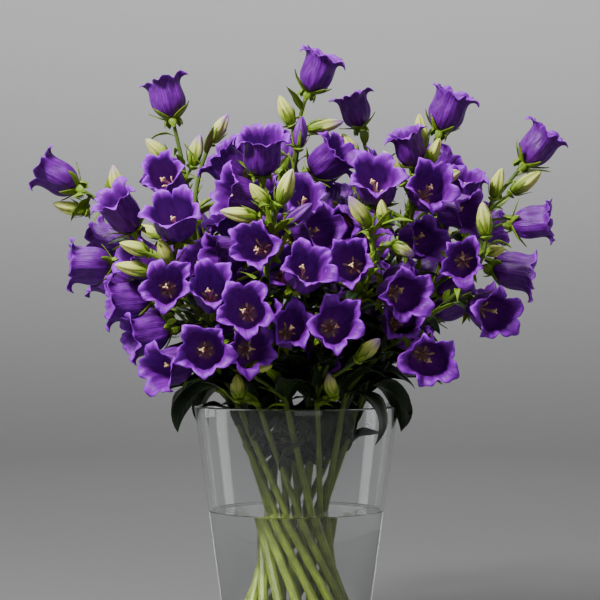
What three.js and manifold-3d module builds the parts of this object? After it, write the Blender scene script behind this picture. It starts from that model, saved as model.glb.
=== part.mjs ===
// A bunch of cut Canterbury bellflowers standing in a tapered glass vase of water.
// Millimetres, +Z up. The origin is the middle of the vase's foot, and the front is towards -Y.
// Every open bell is a piece of its own. A stem is one piece with its stalks, buds and leaves,
// because a flowering stem is cut and lifted out of the vase whole.
import * as THREE from "three";
import { mergeVertices } from "three/addons/utils/BufferGeometryUtils.js";
import Module from "manifold-3d";

const wasm = await Module();
wasm.setup();

// ---- Driving dimensions ----

const VASE = { height: 260, rim: 102, foot: 66, wall: 3.6, floor: 12, sides: 36 };
const WATER_LEVEL = 155;
const GAP = 0.4; // kept between pieces that touch
const SMALLEST_EDGE = 0.03; // shorter edges left by a cut are closed up
const BUNCH = {
  stems: 14,
  firstTurn: -175, // where the first stem crosses the rim, anticlockwise from +X
  waist: 25, // radius of the ring where the stems cross
  waistHeight: 125,
  lean: 0.45, // sideways travel of a stem for each millimetre that it climbs
  footHeight: VASE.floor + 5,
};
const STALK = { thick: 3.7, thin: 2.6, bell: 1.5, bud: 1.3 }; // radii
const CURVE = {
  pull: 0.3, // how far each end of a stem's bent part runs straight, as a share of its reach
  sidePull: 0.35, // the same for a side stalk
  rise: 0.8, // how far below its flower a side stalk starts, as a share of the way across
  across: 0.5, // how much a long way across counts against a starting place
  last: 0.93, // the highest starting place, as a share of the stem's bent part
  places: 56, // how many starting places are compared
};
const BELL = { length: 42, belly: 17.4, throat: 15.6, lobe: 24, cleft: 19, notch: 4, wall: 1.6 };
const BUD = { width: 6, socket: 4 }; // the socket is how far a stalk runs into its bud
const LEAF = {
  rows: 5,
  firstPlace: 0.02, // as a share of the stem's bent part
  lastPlace: 0.7,
  longest: 90,
  shortest: 43,
  lowestTilt: 61,
  highestTilt: 38,
  slender: 0.25, // width over length
  widest: 0.4, // where the leaf is widest, as a share of its length
  thickness: 1.2,
  turn: 137.5, // from one leaf to the next up the stem
  stemTurn: 61, // from one stem's first leaf to the next stem's
};

const PETAL = { color: 0x5a2a9c, roughness: 0.55, metalness: 0 };
const STALK_GREEN = { color: 0x5d7426, roughness: 0.6, metalness: 0 };
const GLASS = { color: 0xe4eaea, roughness: 0.04, metalness: 0, transparent: true, opacity: 0.35 };
const WATER = { color: 0xdce6e4, roughness: 0.02, metalness: 0, transparent: true, opacity: 0.3 };

// ---- The flowers ----

// Every row of a stem's flowers is [x, y, z, turn, tilt, size]: the middle of the bell, the way that
// it opens, turned from the front towards +X and tilted above the horizon, and its size.
// Every row of its buds is [x, y, z, turn, tilt, length], from the foot of the bud.
// The stem ends in its first flower, or in its first bud where endsInBud is true.
const SPIKES = [
  {
    flowers: [
      [-235, -25, 485, -88, 27, 1],
      [-161, -75, 364, -78, -2, 1],
      [-141, -85, 331, -70, -14, 1],
    ],
    buds: [
      [-209, -15, 452, -88, 15, 34],
      [-172, -55, 466, -60, 78, 30],
    ],
  },
  {
    endsInBud: true,
    flowers: [
      [-122, -95, 477, -25, 22, 0.95],
      [-165, -95, 447, -45, 48, 1],
      [-66, -42, 494, -70, 40, 0.95],
      [-200, -55, 398, -80, 2, 1],
      [-117, -105, 301, -45, -8, 1],
    ],
    buds: [[-84, -20, 521, 80, 58, 33]],
  },
  {
    endsInBud: true,
    flowers: [
      [-110, -150, 435, -5, 34, 1.05],
      [-118, -158, 374, 0, 6, 0.92],
      [-78, -150, 369, 6, 22, 1],
      [-83, -165, 317, 0, 0, 1.05],
    ],
    buds: [
      [-115, -140, 397, -50, 58, 26],
      [-137, -130, 406, -75, 20, 29],
      [-136, -120, 389, -80, 12, 34],
      [-54, -92, 270, -30, 80, 24],
    ],
  },
  {
    endsInBud: true,
    flowers: [
      [-32, -100, 502, 0, 58, 1.02],
      [-34, -178, 411, -14, 8, 0.95],
      [7, -190, 386, 14, 24, 1],
      [-45, -178, 353, -4, 8, 1.03],
      [-45, -140, 317, 8, 0, 0.95],
      [-66, -98, 407, -62, -4, 0.95],
    ],
    buds: [
      [-15, -172, 450, 60, 65, 34],
      [-26, -168, 448, -70, 50, 26],
      [-35, -168, 437, -80, 10, 35],
      [-10, -165, 431, 70, 35, 33],
      [-44, -130, 300, 70, 5, 24],
    ],
  },
  {
    endsInBud: true,
    flowers: [
      [50, -178, 395, -8, 8, 0.98],
      [94, -165, 369, 22, -2, 1.05],
      [33, -182, 339, 8, 6, 1.06],
      [15, -135, 426, 40, 10, 0.98],
      [74, -125, 469, -8, 32, 1],
    ],
    buds: [
      [66, -160, 430, -60, 52, 34],
      [82, -150, 432, -30, 70, 24],
      [58, -128, 308, 60, 40, 30],
      [92, -112, 415, 60, -28, 24],
      [36, -96, 272, -40, 70, 24],
    ],
  },
  {
    endsInBud: true,
    flowers: [
      [155, -138, 399, -2, -4, 0.9],
      [180, -115, 353, 28, -10, 1.06],
      [120, -150, 310, 12, -10, 1.05],
    ],
    buds: [
      [177, -126, 423, -60, 82, 32],
      [177, -110, 408, 75, 10, 20],
    ],
  },
  {
    flowers: [
      [150, -15, 553, 60, 66, 1],
      [111, -40, 513, -50, 62, 0.9],
      [122, -128, 464, 12, 14, 1.05],
      [153, -84, 449, 48, -8, 0.95],
    ],
    buds: [
      [125, -25, 513, -88, 84, 36],
      [129, -40, 498, 60, 62, 28],
      [102, -70, 477, -70, 57, 36],
      [138, -68, 480, 80, 20, 22],
    ],
  },
  {
    flowers: [
      [241, -5, 518, 75, 50, 1],
      [230, -45, 440, 78, 2, 0.92],
      [209, -70, 393, 80, -6, 0.98],
    ],
    buds: [
      [193, -40, 465, 60, 72, 30],
      [213, -20, 471, 80, 35, 36],
    ],
  },
  {
    flowers: [
      [61, 70, 563, -70, 72, 0.86],
      [31, -60, 499, 55, 35, 0.98],
    ],
    buds: [[61, 30, 508, -80, 62, 31]],
  },
  {
    flowers: [
      [148, 118, 505, 140, 48, 1],
      [190, 70, 438, 118, 12, 1],
    ],
    buds: [
      [122, 128, 460, 160, 55, 32],
      [150, 96, 430, 150, 20, 30],
    ],
  },
  {
    flowers: [
      [21, 15, 595, 60, 62, 1],
    ],
    buds: [
      [-5, 5, 541, -80, 68, 32],
      [11, 20, 538, 85, 12, 38],
      [2, -14, 516, 45, 80, 32],
    ],
  },
  {
    flowers: [
      [-18, 150, 520, 178, 50, 1],
      [-10, 186, 425, -175, 12, 1.03],
    ],
    buds: [
      [8, 146, 470, 150, 60, 32],
      [-42, 160, 455, -160, 30, 30],
    ],
  },
  {
    flowers: [
      [-135, 118, 490, -140, 40, 1],
      [-92, 150, 410, -158, 5, 1],
    ],
    buds: [
      [-106, 120, 452, -170, 60, 32],
      [-140, 92, 432, -110, 25, 32],
    ],
  },
  {
    flowers: [
      [-131, 25, 570, -80, 76, 1],
      [-190, 62, 425, -112, 8, 1],
    ],
    buds: [
      [-129, 15, 506, -80, 43, 32],
      [-104, 5, 500, 60, 75, 33],
    ],
  },
];

// ---- Directions and routes ----

const radians = THREE.MathUtils.degToRad;
const lerp = THREE.MathUtils.lerp;

/** The unit vector of a turn from the front towards +X and a tilt above the horizon, in degrees. */
function facing(turn, tilt) {
  const across = Math.cos(radians(tilt));
  const [side, back] = [Math.sin(radians(turn)), -Math.cos(radians(turn))];
  return new THREE.Vector3(side * across, back * across, Math.sin(radians(tilt)));
}

/** The foot of a bell whose middle is at the row's place. */
function bellFoot([x, y, z, turn, tilt, size]) {
  return new THREE.Vector3(x, y, z).addScaledVector(facing(turn, tilt), (-size * BELL.length) / 2);
}

/** Where a flower or a bud joins its stalk, and the way that it points. */
function joint(row, isBell) {
  const foot = isBell ? bellFoot(row) : new THREE.Vector3(row[0], row[1], row[2]);
  return { foot, way: facing(row[3], row[4]) };
}

/** A stem's line: straight up through the crossing to the height of the rim, then bending out to its tip. */
class StemRoute extends THREE.Curve {
  constructor(index, end) {
    super();
    const rimClimb = VASE.height - BUNCH.waistHeight;
    const twist = Math.atan2(BUNCH.lean * rimClimb, BUNCH.waist);
    const angle = radians(BUNCH.firstTurn + (360 / BUNCH.stems) * index) + twist;
    const out = new THREE.Vector3(Math.cos(angle), Math.sin(angle), 0);
    this.climb = new THREE.Vector3(Math.sin(angle) * BUNCH.lean, -Math.cos(angle) * BUNCH.lean, 1);
    this.waist = out.multiplyScalar(BUNCH.waist).setZ(BUNCH.waistHeight);
    const foot = this.atHeight(BUNCH.footHeight);
    const rim = this.atHeight(VASE.height);
    const reach = rim.distanceTo(end.foot);
    const leaving = this.climb.clone().normalize();
    this.straight = new THREE.LineCurve3(foot, rim);
    this.bent = new THREE.CubicBezierCurve3(
      rim,
      rim.clone().addScaledVector(leaving, reach * CURVE.pull),
      end.foot.clone().addScaledVector(end.way, -reach * CURVE.pull),
      end.foot,
    );
  }

  atHeight(z) {
    return this.waist.clone().addScaledVector(this.climb, z - BUNCH.waistHeight);
  }
}

/** The line of a flower's or a bud's own stalk, from the nearest good place on the stem's bent part. */
function stalkRoute(route, end) {
  let best = { cost: Infinity };
  for (let step = 0; step <= CURVE.places; step += 1) {
    const t = (step / CURVE.places) * CURVE.last;
    const start = route.bent.getPoint(t);
    const across = Math.hypot(start.x - end.foot.x, start.y - end.foot.y);
    const climb = end.foot.z - start.z;
    const cost = Math.abs(climb - CURVE.rise * across) + CURVE.across * across;
    if (cost < best.cost) best = { cost, t, start };
  }
  const reach = best.start.distanceTo(end.foot);
  const leaving = route.bent.getTangent(best.t);
  return new THREE.CubicBezierCurve3(
    best.start,
    best.start.clone().addScaledVector(leaving, reach * CURVE.sidePull),
    end.foot.clone().addScaledVector(end.way, -reach * CURVE.sidePull),
    end.foot,
  );
}

// ---- Shapes ----

function solidOf(geometry) {
  const bare = geometry.clone();
  bare.deleteAttribute("normal");
  bare.deleteAttribute("uv");
  const merged = mergeVertices(bare, 1e-3);
  const vertProperties = merged.attributes.position.array;
  const triVerts = new Uint32Array(merged.index.array);
  return new wasm.Manifold(new wasm.Mesh({ numProp: 3, vertProperties, triVerts }));
}

function geometryOf(solid) {
  const { vertProperties, triVerts } = solid.simplify(SMALLEST_EDGE).getMesh();
  const geometry = new THREE.BufferGeometry();
  geometry.setAttribute("position", new THREE.BufferAttribute(vertProperties, 3));
  geometry.setIndex(new THREE.BufferAttribute(triVerts, 1));
  geometry.computeVertexNormals();
  return geometry;
}

function joined(solids) {
  return wasm.Manifold.union(solids);
}

function largest(solid) {
  return solid.decompose().sort((a, b) => b.volume() - a.volume())[0];
}

function lathe(profile, sides) {
  const points = profile.map(([r, z]) => new THREE.Vector2(r, z));
  return new THREE.LatheGeometry(points, sides).rotateX(Math.PI / 2);
}

function ringShape(radius, sides) {
  const shape = new THREE.Shape();
  for (let i = 0; i < sides; i += 1) {
    const angle = (i / sides) * 2 * Math.PI;
    shape[i ? "lineTo" : "moveTo"](radius * Math.cos(angle), radius * Math.sin(angle));
  }
  return shape;
}

function tube(route, radius, sides, steps) {
  const settings = { extrudePath: route, steps, bevelEnabled: false };
  return solidOf(new THREE.ExtrudeGeometry(ringShape(radius, sides), settings));
}

/** Turns +Z to a direction and puts the origin at a place. */
function placement(place, way, size = 1) {
  const turn = new THREE.Quaternion().setFromUnitVectors(new THREE.Vector3(0, 0, 1), way);
  return new THREE.Matrix4().compose(place, turn, new THREE.Vector3(size, size, size));
}

// ---- The vase and its water ----

function vaseRadius(z) {
  return VASE.foot + ((VASE.rim - VASE.foot) * z) / VASE.height;
}

function vaseGeometry() {
  const inside = (z) => vaseRadius(z) - VASE.wall;
  return lathe(
    [
      [0, 0],
      [VASE.foot - 2, 0],
      [vaseRadius(3), 3],
      [VASE.rim, VASE.height - 1],
      [VASE.rim - VASE.wall / 2, VASE.height],
      [inside(VASE.height), VASE.height - 1],
      [inside(VASE.floor + 5), VASE.floor + 5],
      [inside(VASE.floor) - 6, VASE.floor],
      [0, VASE.floor],
    ],
    VASE.sides,
  );
}

/** The water, with a clear channel round each stem. */
function waterSolid(channels) {
  const bottom = VASE.floor + GAP;
  const inside = (z) => vaseRadius(z) - VASE.wall - 2 * GAP;
  const profile = [
    [0, bottom],
    [inside(VASE.floor) - 7, bottom],
    [inside(VASE.floor + 6), VASE.floor + 6],
    [inside(WATER_LEVEL), WATER_LEVEL],
    [0, WATER_LEVEL],
  ];
  return largest(solidOf(lathe(profile, VASE.sides)).subtract(joined(channels)));
}

// ---- Bells, buds and leaves ----

/** The outside of a bell as [radius, height] points, from its foot to its lobes' tips. */
function bellOutside(extra) {
  const { length, belly, throat, lobe } = BELL;
  return [
    [0, -extra],
    [7 + extra, 2 - extra],
    [belly + extra, 0.42 * length],
    [throat + extra, 0.8 * length],
    [lobe + extra, length + extra],
  ];
}

/** A bell opening along +Z from its foot at the origin: a bulging cup, hollow inside, with five lobes. */
function bellGeometry() {
  const { length, throat, lobe, cleft, notch, wall } = BELL;
  const outside = bellOutside(0);
  const inside = [
    [throat - wall, 0.8 * length],
    [0, 0.16 * length],
  ];
  const profile = [...outside, ...inside];
  const geometry = lathe(profile, 10);
  const place = geometry.getAttribute("position");
  for (let column = 1; column < 10; column += 2) {
    const i = column * profile.length + outside.length - 1;
    const inwards = cleft / lobe;
    place.setXYZ(i, place.getX(i) * inwards, place.getY(i) * inwards, place.getZ(i) - notch);
  }
  return geometry;
}

/** The space that a bell needs, filled in across its mouth. */
function bellSpaceSolid() {
  const top = BELL.length + GAP;
  return solidOf(lathe([...bellOutside(GAP), [0, top]], 10));
}

function budSolid([x, y, z, turn, tilt, length], extra) {
  const width = BUD.width + extra;
  const profile = [
    [0, -extra],
    [0.75 * width, 0.16 * length],
    [width, 0.5 * length],
    [0, length + extra],
  ];
  const bud = solidOf(lathe(profile, 6));
  const place = new THREE.Vector3(x, y, z);
  return bud.transform(placement(place, facing(turn, tilt)).elements);
}

/** A pointed leaf along a direction from a place on the stem, as a thin plate that faces up. */
function leafSolid(place, way, length, extra) {
  const half = (length * LEAF.slender) / 2 + extra;
  const outline = new THREE.Shape();
  outline.moveTo(0, 0).lineTo(length * LEAF.widest, -half).lineTo(length + extra, 0);
  outline.lineTo(length * LEAF.widest, half);
  const depth = LEAF.thickness + 2 * extra;
  const plate = new THREE.ExtrudeGeometry(outline, { depth, bevelEnabled: false });
  plate.translate(0, 0, -depth / 2);
  const side = new THREE.Vector3(0, 0, 1).cross(way).normalize();
  const turn = new THREE.Matrix4().makeBasis(way, side, way.clone().cross(side));
  return solidOf(plate.applyMatrix4(turn.setPosition(place)));
}

/** The leaves of one stem, spiralling up it and getting shorter. */
function leafPlaces(route, index) {
  return Array.from({ length: LEAF.rows }, (_, row) => {
    const share = row / (LEAF.rows - 1);
    const place = route.bent.getPoint(lerp(LEAF.firstPlace, LEAF.lastPlace, share));
    const turn = index * LEAF.stemTurn + row * LEAF.turn;
    const tilt = lerp(LEAF.lowestTilt, LEAF.highestTilt, share);
    return { place, way: facing(turn, tilt), length: lerp(LEAF.longest, LEAF.shortest, share) };
  });
}

// ---- The bunch ----

/** A stem's tubes, with its stalks, made thicker by extra. */
function tubesOf(stem, extra) {
  const main = [
    tube(stem.route.straight, STALK.thick + extra, 6, 1),
    tube(stem.route.bent, STALK.thin + extra, 6, 6),
  ];
  const ends = stem.ends.slice(1);
  const stalks = ends.map(({ end, isBell }) =>
    tube(stalkRoute(stem.route, end), (isBell ? STALK.bell : STALK.bud) + extra, 4, 2),
  );
  return joined([...main, ...stalks]);
}

function foliageOf(stem, extra) {
  const buds = stem.spike.buds.map((row) => budSolid(row, extra));
  const leaves = leafPlaces(stem.route, stem.index).map(({ place, way, length }) =>
    leafSolid(place, way, length, extra),
  );
  return joined([...buds, ...leaves]);
}

/** A stem's number, its line and its flowers and buds, the one at its tip first. */
function readSpike(spike, index) {
  const bells = spike.flowers.map((row) => ({ end: joint(row, true), isBell: true }));
  const buds = spike.buds.map((row) => ({ end: joint(row, false), isBell: false }));
  const ends = spike.endsInBud ? [...buds, ...bells] : [...bells, ...buds];
  for (const { end, isBell } of ends) end.foot.addScaledVector(end.way, isBell ? -GAP : BUD.socket);
  return { index, spike, ends, route: new StemRoute(index, ends[0].end) };
}

function named(name, geometry, material) {
  const mesh = new THREE.Mesh(geometry, new THREE.MeshStandardMaterial(material));
  mesh.name = name;
  return mesh;
}

function twoDigits(number) {
  return String(number).padStart(2, "0");
}

const bunch = new THREE.Group();
const stems = SPIKES.map(readSpike);
const bell = bellGeometry();
const bellSpace = bellSpaceSolid();
const bellSpaces = [];

for (const { index, spike } of stems) {
  spike.flowers.forEach((row, number) => {
    const way = facing(row[3], row[4]);
    const flower = named(`flower_${twoDigits(index + 1)}_${number + 1}`, bell, PETAL);
    flower.position.copy(bellFoot(row));
    flower.quaternion.setFromUnitVectors(new THREE.Vector3(0, 0, 1), way);
    flower.scale.setScalar(row[5]);
    bunch.add(flower);
    bellSpaces.push(bellSpace.transform(placement(bellFoot(row), way, row[5]).elements));
  });
}

const tubes = stems.map((stem) => tubesOf(stem, 0));
const channels = stems.map((stem) => tubesOf(stem, GAP));
let taken = joined([...bellSpaces, solidOf(vaseGeometry())]);
stems.forEach((stem, i) => {
  const others = joined(channels.filter((_, k) => k !== i));
  const foliage = foliageOf(stem, 0).subtract(taken).subtract(others);
  const whole = tubes[i].add(foliage);
  taken = taken.add(foliageOf(stem, GAP));
  bunch.add(named(`stem_${twoDigits(i + 1)}`, geometryOf(largest(whole)), STALK_GREEN));
});

bunch.add(named("vase", vaseGeometry(), GLASS));
bunch.add(named("water", geometryOf(waterSolid(channels)), WATER));

export default bunch;
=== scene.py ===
"""A bunch of cut Canterbury bellflowers in a tapered glass vase of water, built on its CAD frame.

Everything is in metres, +Z up, with the middle of the vase's foot at the origin.
"""

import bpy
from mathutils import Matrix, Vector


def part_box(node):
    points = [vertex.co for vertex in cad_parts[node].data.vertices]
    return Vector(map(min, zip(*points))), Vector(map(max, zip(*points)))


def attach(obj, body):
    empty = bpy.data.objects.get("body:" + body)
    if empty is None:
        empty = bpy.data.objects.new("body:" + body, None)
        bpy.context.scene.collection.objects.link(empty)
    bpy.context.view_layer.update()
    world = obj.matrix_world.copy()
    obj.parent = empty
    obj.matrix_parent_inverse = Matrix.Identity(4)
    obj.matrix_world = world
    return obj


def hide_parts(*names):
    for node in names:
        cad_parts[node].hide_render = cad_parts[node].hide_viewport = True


bl_info = {
    "name": "Bellflower Bunch",
    "version": (1, 0, 0),
    "blender": (4, 5, 0),
    "location": "View3D > Sidebar > Bellflowers",
    "description": "Makes a bunch of cut bellflowers in a glass vase of water",
    "category": "Object",
}

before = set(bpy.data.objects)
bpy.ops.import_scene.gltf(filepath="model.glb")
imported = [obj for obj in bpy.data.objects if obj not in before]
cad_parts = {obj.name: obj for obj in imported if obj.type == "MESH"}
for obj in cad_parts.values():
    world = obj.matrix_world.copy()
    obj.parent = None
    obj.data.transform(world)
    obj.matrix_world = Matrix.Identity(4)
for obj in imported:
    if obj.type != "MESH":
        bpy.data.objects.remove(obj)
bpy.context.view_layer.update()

import math
import random

import bmesh
import bpy
from bpy.props import FloatProperty, FloatVectorProperty, IntProperty, PointerProperty
from mathutils import Matrix, Vector, kdtree

# ---- The bunch ----

# For each stem, how many bells it carries, whether its tip is its first "bell" or its first "bud",
# and its buds. A bud is (x, y, z, turn, tilt, length, ripeness): the place of its foot, the way that
# it points, turned from the front towards +X and tilted above the horizon, its length, and 0 for a
# green bud to 1 for a violet one.
SPIKES = (
    (3, "bell", (
        (-0.209, -0.015, 0.452, -88, 15, 0.034, 0.25),
        (-0.172, -0.055, 0.466, -60, 78, 0.030, 0.45),
    )),
    (5, "bud", (
        (-0.084, -0.020, 0.521, 80, 58, 0.033, 0.75),
    )),
    (4, "bud", (
        (-0.115, -0.140, 0.397, -50, 58, 0.026, 0.0),
        (-0.137, -0.130, 0.406, -75, 20, 0.029, 0.1),
        (-0.136, -0.120, 0.389, -80, 12, 0.034, 0.2),
        (-0.054, -0.092, 0.270, -30, 80, 0.024, 0.1),
    )),
    (6, "bud", (
        (-0.015, -0.172, 0.450, 60, 65, 0.034, 0.35),
        (-0.026, -0.168, 0.448, -70, 50, 0.026, 0.1),
        (-0.035, -0.168, 0.437, -80, 10, 0.035, 0.35),
        (-0.010, -0.165, 0.431, 70, 35, 0.033, 1.0),
        (-0.044, -0.130, 0.300, 70, 5, 0.024, 0.15),
    )),
    (5, "bud", (
        (0.066, -0.160, 0.430, -60, 52, 0.034, 0.55),
        (0.082, -0.150, 0.432, -30, 70, 0.024, 0.1),
        (0.058, -0.128, 0.308, 60, 40, 0.030, 0.5),
        (0.092, -0.112, 0.415, 60, -28, 0.024, 0.8),
        (0.036, -0.096, 0.272, -40, 70, 0.024, 0.4),
    )),
    (3, "bud", (
        (0.177, -0.126, 0.423, -60, 82, 0.032, 0.3),
        (0.177, -0.110, 0.408, 75, 10, 0.020, 0.1),
    )),
    (4, "bell", (
        (0.125, -0.025, 0.513, -88, 84, 0.036, 0.1),
        (0.129, -0.040, 0.498, 60, 62, 0.028, 0.1),
        (0.102, -0.070, 0.477, -70, 57, 0.036, 0.35),
        (0.138, -0.068, 0.480, 80, 20, 0.022, 0.3),
    )),
    (3, "bell", (
        (0.193, -0.040, 0.465, 60, 72, 0.030, 0.15),
        (0.213, -0.020, 0.471, 80, 35, 0.036, 0.1),
    )),
    (2, "bell", (
        (0.061, 0.030, 0.508, -80, 62, 0.031, 0.25),
    )),
    (2, "bell", (
        (0.122, 0.128, 0.460, 160, 55, 0.032, 0.3),
        (0.150, 0.096, 0.430, 150, 20, 0.030, 0.1),
    )),
    (1, "bell", (
        (-0.005, 0.005, 0.541, -80, 68, 0.032, 0.15),
        (0.011, 0.020, 0.538, 85, 12, 0.038, 0.6),
        (0.002, -0.014, 0.516, 45, 80, 0.032, 1.0),
    )),
    (2, "bell", (
        (0.008, 0.146, 0.470, 150, 60, 0.032, 0.2),
        (-0.042, 0.160, 0.455, -160, 30, 0.030, 0.4),
    )),
    (2, "bell", (
        (-0.106, 0.120, 0.452, -170, 60, 0.032, 0.3),
        (-0.140, 0.092, 0.432, -110, 25, 0.032, 0.1),
    )),
    (2, "bell", (
        (-0.129, 0.015, 0.506, -80, 43, 0.032, 0.3),
        (-0.104, 0.005, 0.500, 60, 75, 0.033, 0.55),
    )),
)
BELL_SOCKET = 0.0004  # a bell's own stalk stops this far from its foot
BUD_SOCKET = 0.004  # a bud's stalk runs this far into it
LOBES = 5
MERGE = 0.00001  # corners closer than this become one
LEAF_WALL = 0.0005  # the thickness of a leaf or a bell's sepal
BUD_SEPAL_WALL = 0.0004

# How far a petal leans out from its bell's axis, in degrees, at shares of the way along it.
PETAL_LEANS = (
    (0.0, 90), (0.07, 82), (0.17, 54), (0.3, 35), (0.44, 13),
    (0.56, -2), (0.7, -4), (0.8, 7), (0.88, 30), (1.0, 64),
)
LOBE_START = 0.76  # the share of a petal's length where its free lobe starts


# ---- Settings ----


def size(name, description, default):
    return FloatProperty(name=name, description=description, default=default, min=0, unit="LENGTH")


def share(name, description, default):
    return FloatProperty(name=name, description=description, default=default, min=0, max=1)


def colour(name, description, default):
    return FloatVectorProperty(
        name=name, description=description, default=default, size=3, min=0, max=1, subtype="COLOR"
    )


def watts(name, description, default):
    return FloatProperty(name=name, description=description, default=default, min=0, unit="POWER")


class VaseSettings(bpy.types.PropertyGroup):
    foot: size("Foot", "Radius of the foot", 0.066)
    wall: size("Wall", "Thickness of the glass wall", 0.0036)
    floor: size("Floor", "Thickness of the glass floor", 0.012)
    meniscus: size("Meniscus", "How far the water climbs the glass", 0.0016)
    glass: colour("Glass", "Tint of the glass", (0.95, 0.96, 0.955))
    water: colour("Water", "Tint of the water", (0.985, 0.985, 0.98))


class StemSettings(bpy.types.PropertyGroup):
    waist: size("Waist", "Radius of the ring where the stems cross", 0.025)
    waist_height: size("Waist height", "Height of that ring", 0.125)
    lean: share("Lean", "Sideways travel of a stem for each metre that it climbs", 0.45)
    first_turn: FloatProperty(
        name="First turn",
        description="Where the first stem crosses the rim, anticlockwise from +X",
        default=math.radians(-175),
        unit="ROTATION",
    )
    middle: IntProperty(name="Middle", description="Stems in the middle of the bunch", default=6, min=0)
    foot: size("Foot height", "Height of the stems' cut ends", 0.017)
    thick: size("Thick end", "Radius of a stem at its cut end", 0.0043)
    thin: size("Thin end", "Radius of a stem at its tip", 0.0019)
    side: size("Side stalk", "Radius of a side stalk", 0.0015)
    fresh: colour("Fresh", "Colour of a stem in the water", (0.085, 0.115, 0.007))
    shaded: colour("Shaded", "Colour of a stem above the rim", (0.065, 0.12, 0.012))


class BellSettings(bpy.types.PropertyGroup):
    petal: size("Petal", "Length of a petal from its foot to its lobe's tip", 0.0550)
    wall: size("Petal thickness", "Thickness of a petal", 0.0005)
    fillers: IntProperty(name="Fillers", description="Bells that fill the bunch", default=60, min=0)
    tries: IntProperty(name="Tries", description="Places tried for those bells", default=9000, min=0)
    lobe: share("Lobe", "Share of the petal's length that is its free lobe", 0.120)
    ridge: size("Ridge", "Height of the ridge down the middle of a petal", 0.0007)
    pleat: size("Pleat", "Depth of the fold between two petals", 0.0013)
    violet: colour("Violet", "Colour of a petal's outside", (0.140, 0.001, 0.28))
    # Lilac is the colour of the petals' paler veins and ribs, and also a painted highlight on their
    # rims.
    lilac: colour("Lilac", "Colour of a petal's edge", (0.29, 0.008, 0.62))
    # The throat colour is painted light: lighter than the violet to offset the shade deep in a bell.
    throat: colour("Throat", "Colour inside a bell", (0.19, 0.004, 0.33))
    cream: colour("Cream", "Colour of a pistil", (0.86, 0.62, 0.30))


class BudSettings(bpy.types.PropertyGroup):
    radius: size("Radius", "Radius of a bud at its widest", 0.0060)
    green: colour("Green", "Colour at the foot of a bud", (0.20, 0.31, 0.015))
    cream: colour("Cream", "Colour of a bud's body", (0.58, 0.62, 0.13))


class LeafSettings(bpy.types.PropertyGroup):
    rows: IntProperty(name="Rows", description="Large leaves on each stem", default=18, min=0)
    longest: size("Longest", "Length of the lowest leaf", 0.088)
    shortest: size("Shortest", "Length of the highest leaf", 0.036)
    # The dark colour is partly the leaves' own deep green and partly painted shade for the shaded lower
    # bunch.
    dark: colour("Dark", "Colour of a low leaf", (0.012, 0.026, 0.006))
    bright: colour("Bright", "Colour of a bract or a sepal", (0.21, 0.34, 0.018))


class StageSettings(bpy.types.PropertyGroup):
    reach: size("Reach", "Distance from the vase to the backdrop", 4.5)
    eye: size("Eye", "Height of the camera", 0.337)
    distance: size("Distance", "Distance of the camera from the vase's axis", 1.8)
    aim: size("Aim", "Height of the point that the camera looks at", 0.365)
    shift: size("Shift", "Distance of the camera's line of sight to the right of the axis", 0.0037)
    lens: FloatProperty(name="Lens", description="Focal length, in millimetres", default=108, min=1)
    floor: colour("Floor", "Colour of the floor and the backdrop", (0.56, 0.56, 0.57))
    key: watts("Key light", "Power of the soft light above the front left", 52)
    fill: watts("Fill light", "Power of the soft light from the front", 4.5)
    strip: watts("Side lights", "Power of each light that draws the glass's edges", 1.8)
    back: watts("Backdrop light", "Power of the light on the backdrop behind the vase", 200)
    around: share("Around", "Share of that power for the lights on the other three sides", 0.2)
    sky: share("Sky", "Strength of the light from all round", 0.06)


# ---- Materials ----


class Wire:
    """A value that runs through a material's nodes. Arithmetic on it adds Math nodes."""

    def __init__(self, shader, socket):
        self.shader = shader
        self.socket = socket

    def math(self, operation, first, second=0.0):
        return self.shader.node("ShaderNodeMath", {"operation": operation}, {0: first, 1: second})

    def __add__(self, other):
        return self.math("ADD", self, other)

    def __sub__(self, other):
        return self.math("SUBTRACT", self, other)

    def __rsub__(self, other):
        return self.math("SUBTRACT", other, self)

    def __mul__(self, other):
        return self.math("MULTIPLY", self, other)

    def __pow__(self, other):
        return self.math("POWER", self, other)

    __radd__ = __add__
    __rmul__ = __mul__

    def sine(self):
        return self.math("SINE", self)

    def cosine(self):
        return self.math("COSINE", self)

    def fraction(self):
        return self.math("FRACT", self)

    def size(self):
        return self.math("ABSOLUTE", self)

    def between(self, low, high):
        """0 below low, 1 above high and a smooth rise between them."""
        settings = {"interpolation_type": "SMOOTHSTEP"}
        return self.shader.node("ShaderNodeMapRange", settings, {0: self, 1: low, 2: high})


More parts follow.
